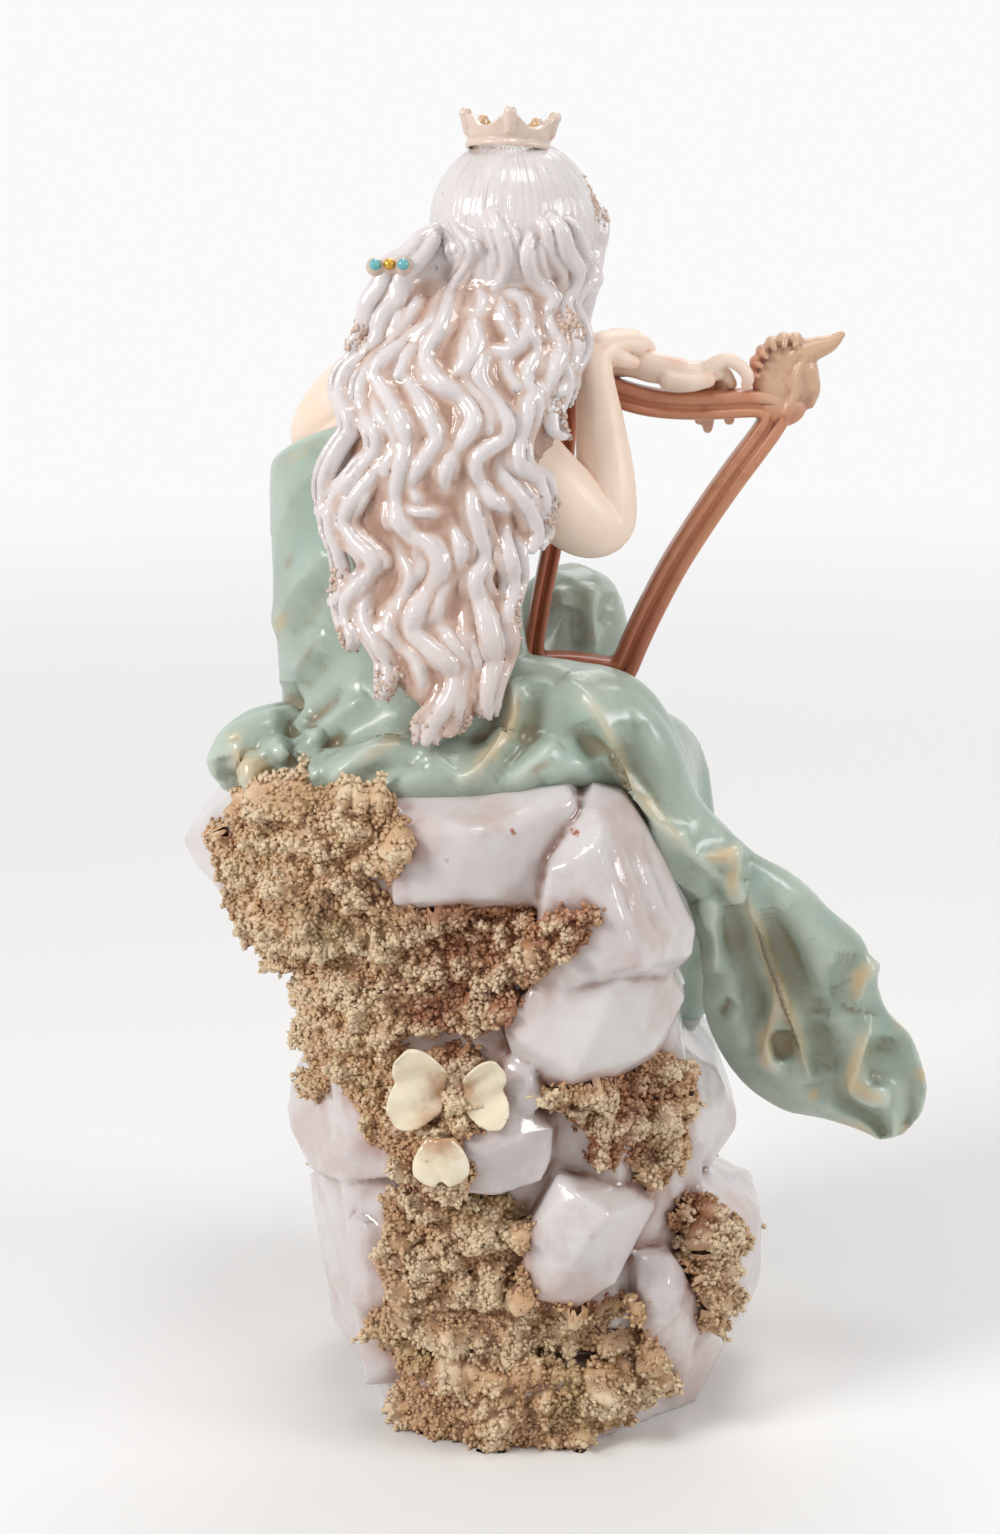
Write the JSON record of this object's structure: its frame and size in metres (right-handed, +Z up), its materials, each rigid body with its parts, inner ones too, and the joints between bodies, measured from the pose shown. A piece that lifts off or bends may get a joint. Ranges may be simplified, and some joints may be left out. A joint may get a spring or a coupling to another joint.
{
  "type": "lorelei figure",
  "caption": "Glazed porcelain figure of a crowned long-haired maiden leaning on a lyre-shaped harp, seated on a mossy rock in a trailing gown.",
  "frame": {"origin": "middle of the flat foot of the rock, on the surface it stands on", "axes": "+Z up; +X to the right of the side with the maiden's back, towards the harp and train; +Y away from that side, towards her front"},
  "size_m": [0.2309, 0.1486, 0.404],
  "materials": {
    "rock_glaze": "gloss glaze over lilac white, with rose brown stain in the joints",
    "moss_slip": "sieved clay crumbs, stained ochre and red brown",
    "gown_bisque": "satin sage green with ochre and brown brush wash on the folds",
    "skin_bisque": "satin ivory with peach shading",
    "hair_glaze": "gloss lilac white with peach brown stain between the locks",
    "harp_bisque": "satin red brown shading to tan",
    "crown_lustre": "ivory glaze with a gold lustre",
    "petal_glaze": "cream glaze",
    "jewel_enamel": "turquoise enamel drops and a gold bead"
  },
  "bodies": {
    "root": {"lorelei_figure": "rock_glaze"}
  },
  "joints": []
}
